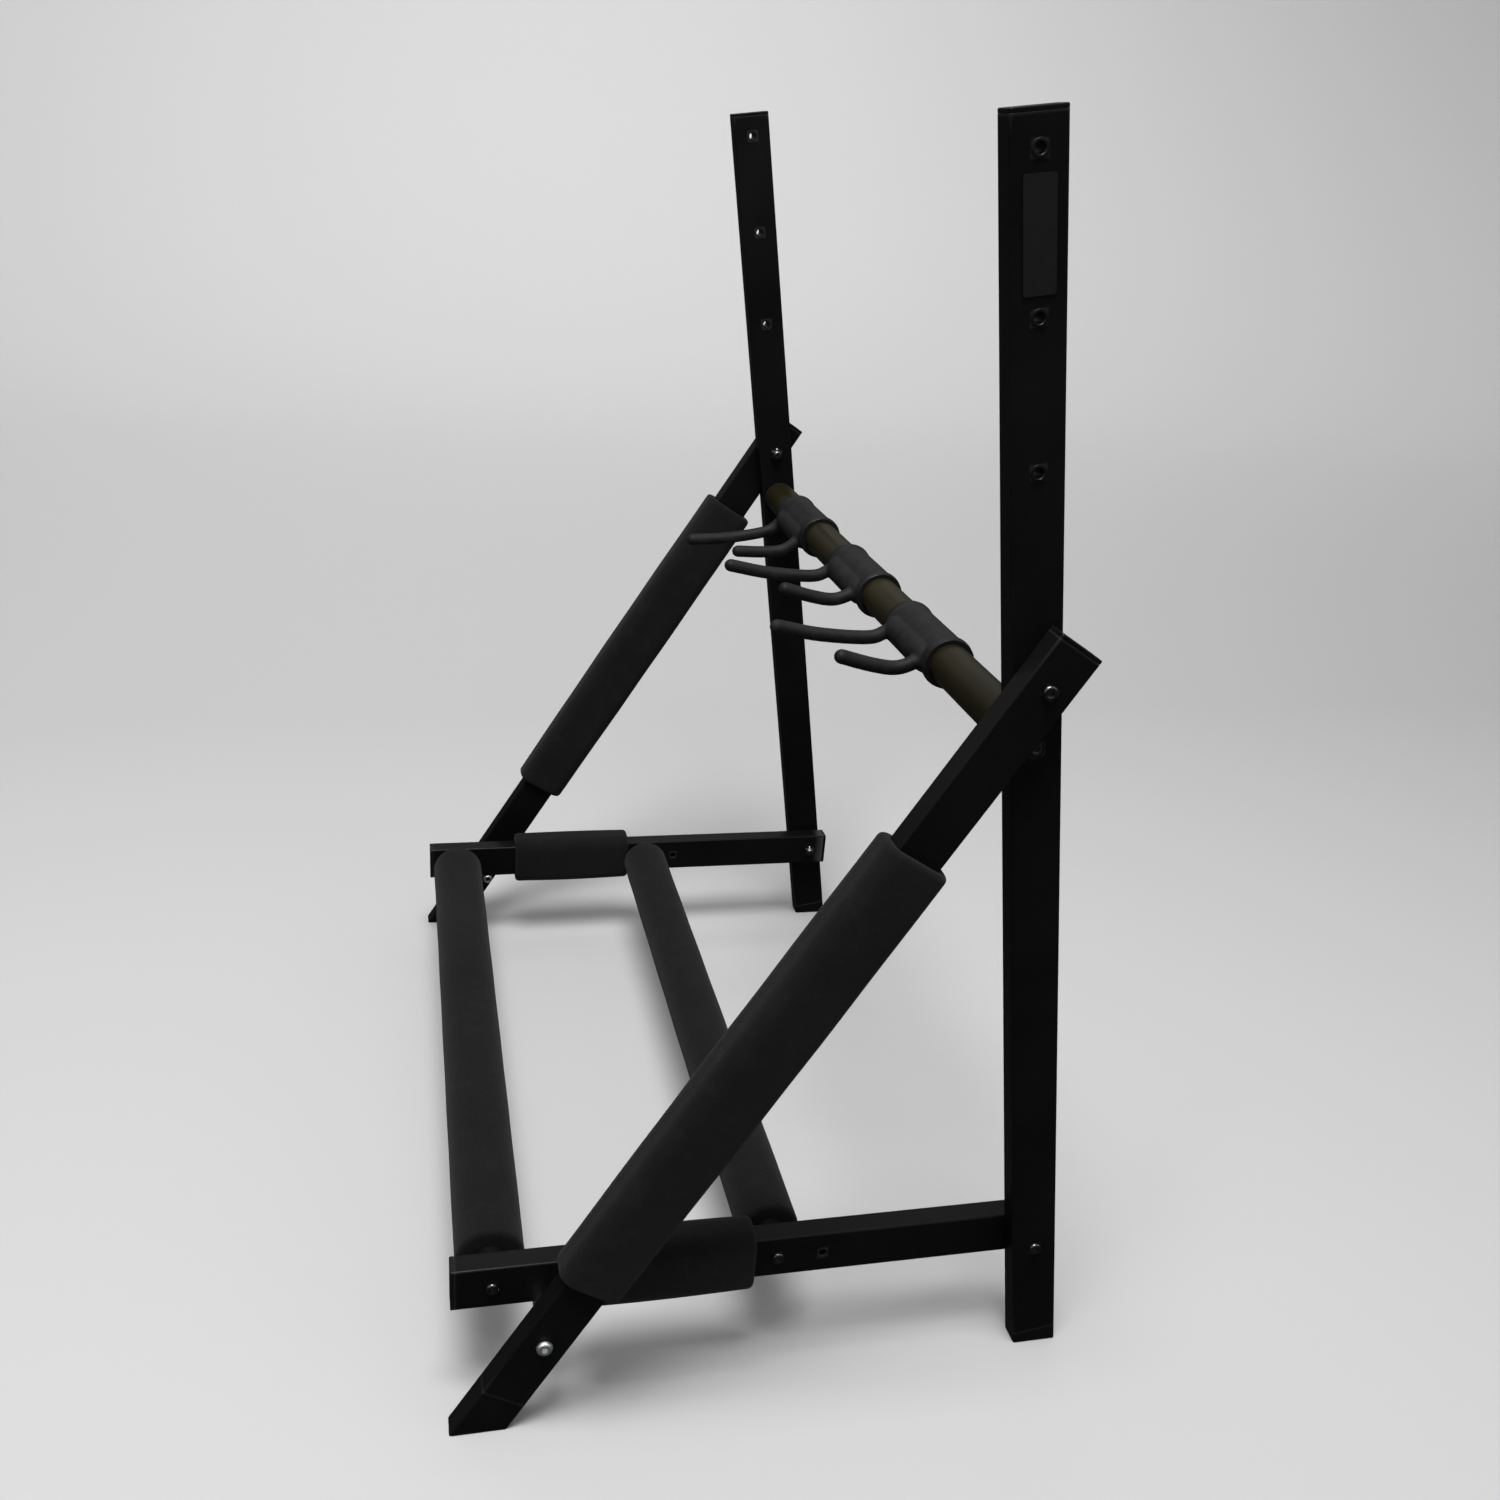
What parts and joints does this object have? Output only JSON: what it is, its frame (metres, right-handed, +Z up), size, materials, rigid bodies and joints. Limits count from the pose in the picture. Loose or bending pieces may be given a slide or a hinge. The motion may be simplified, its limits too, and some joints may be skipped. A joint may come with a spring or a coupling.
{
  "type": "guitar rack",
  "caption": "Folding floor rack: leaning flat-tube side frames, foam-covered base bars, and sliding forked neck yokes on a cross tube.",
  "frame": {"origin": "on the floor, at the middle of the bounding box of the footprint", "axes": "+Z up; -Y towards the front, where the yoke arms and the front feet point; +X towards the side with the short yoke arms"},
  "size_m": [0.76, 0.4752, 0.8913],
  "materials": {
    "frame_black": "satin black powder coat",
    "cap_black": "moulded black plastic",
    "foam_grey": "matte charcoal foam",
    "yoke_rubber": "matte black rubber",
    "bolt_black": "blackened steel",
    "zinc": "bright zinc plate",
    "nylon": "black nylon",
    "label_grey": "plain printed film"
  },
  "bodies": {
    "uprights": {"right_upright": "frame_black", "right_upright_cap": "cap_black", "right_upright_foot": "cap_black", "right_grommet_1": "nylon", "right_grommet_2": "nylon", "right_grommet_3": "nylon", "right_neck_bar_bolt": "bolt_black", "right_rail_pivot_bolt": "bolt_black", "right_rail_pivot_nut": "bolt_black", "right_leg_pivot_bolt": "bolt_black", "right_leg_pivot_nut": "bolt_black", "left_upright": "frame_black", "left_upright_cap": "cap_black", "left_upright_foot": "cap_black", "left_grommet_1": "nylon", "left_grommet_2": "nylon", "left_grommet_3": "nylon", "left_neck_bar_bolt": "bolt_black", "left_rail_pivot_bolt": "bolt_black", "left_rail_pivot_nut": "bolt_black", "left_leg_pivot_bolt": "bolt_black", "left_leg_pivot_nut": "bolt_black", "label_plate": "label_grey", "neck_bar": "frame_black"},
    "base": {"right_rail": "frame_black", "right_rail_front_cap": "cap_black", "right_rail_rear_cap": "cap_black", "right_rail_foam": "foam_grey", "right_front_bar_bolt": "bolt_black", "right_rear_bar_bolt": "bolt_black", "left_rail": "frame_black", "left_rail_front_cap": "cap_black", "left_rail_rear_cap": "cap_black", "left_rail_foam": "foam_grey", "left_front_bar_bolt": "bolt_black", "left_rear_bar_bolt": "bolt_black", "front_bar": "frame_black", "front_bar_foam": "foam_grey", "rear_bar": "frame_black", "rear_bar_foam": "foam_grey"},
    "right_leg": {"right_leg": "frame_black", "right_leg_cap": "cap_black", "right_leg_foot": "cap_black", "right_leg_foam": "foam_grey", "right_stop_bolt": "zinc", "right_stop_post": "zinc"},
    "left_leg": {"left_leg": "frame_black", "left_leg_cap": "cap_black", "left_leg_foot": "cap_black", "left_leg_foam": "foam_grey", "left_stop_bolt": "zinc", "left_stop_post": "zinc"},
    "left_carrier": {"left_yoke_bush": "nylon"},
    "left_fork": {"left_yoke_fork": "yoke_rubber"},
    "middle_carrier": {"middle_yoke_bush": "nylon"},
    "middle_fork": {"middle_yoke_fork": "yoke_rubber"},
    "right_carrier": {"right_yoke_bush": "nylon"},
    "right_fork": {"right_yoke_fork": "yoke_rubber"}
  },
  "joints": [
    {"name": "base_fold", "type": "hinge", "parent": "uprights", "child": "base", "pos_m": [0, 0.20442, 0.09677], "axis": [-1, 0, 0], "range_deg": [0, 58]},
    {"name": "right_leg_fold", "type": "hinge", "parent": "uprights", "child": "right_leg", "pos_m": [0.3618, 0.12993, 0.56184], "axis": [1, 0, 0], "range_deg": [0, 20]},
    {"name": "left_leg_fold", "type": "hinge", "parent": "uprights", "child": "left_leg", "pos_m": [-0.3618, 0.12993, 0.56184], "axis": [1, 0, 0], "range_deg": [0, 8]},
    {"name": "left_yoke_slide", "type": "slide", "parent": "uprights", "child": "left_carrier", "axis": [1, 0, 0], "range_m": [-0.069, 0.044]},
    {"name": "left_yoke_turn", "type": "hinge", "parent": "left_carrier", "child": "left_fork", "pos_m": [-0.215, 0.13744, 0.51494], "axis": [-1, 0, 0], "range_deg": [-6, 59]},
    {"name": "middle_yoke_slide", "type": "slide", "parent": "uprights", "child": "middle_carrier", "axis": [1, 0, 0], "range_m": [-0.044, 0.035]},
    {"name": "middle_yoke_turn", "type": "hinge", "parent": "middle_carrier", "child": "middle_fork", "pos_m": [-0.027, 0.13744, 0.51494], "axis": [-1, 0, 0], "range_deg": [-20, 45]},
    {"name": "right_yoke_slide", "type": "slide", "parent": "uprights", "child": "right_carrier", "axis": [1, 0, 0], "range_m": [-0.035, 0.141]},
    {"name": "right_yoke_turn", "type": "hinge", "parent": "right_carrier", "child": "right_fork", "pos_m": [0.143, 0.13744, 0.51494], "axis": [-1, 0, 0], "range_deg": [-20, 45]}
  ]
}
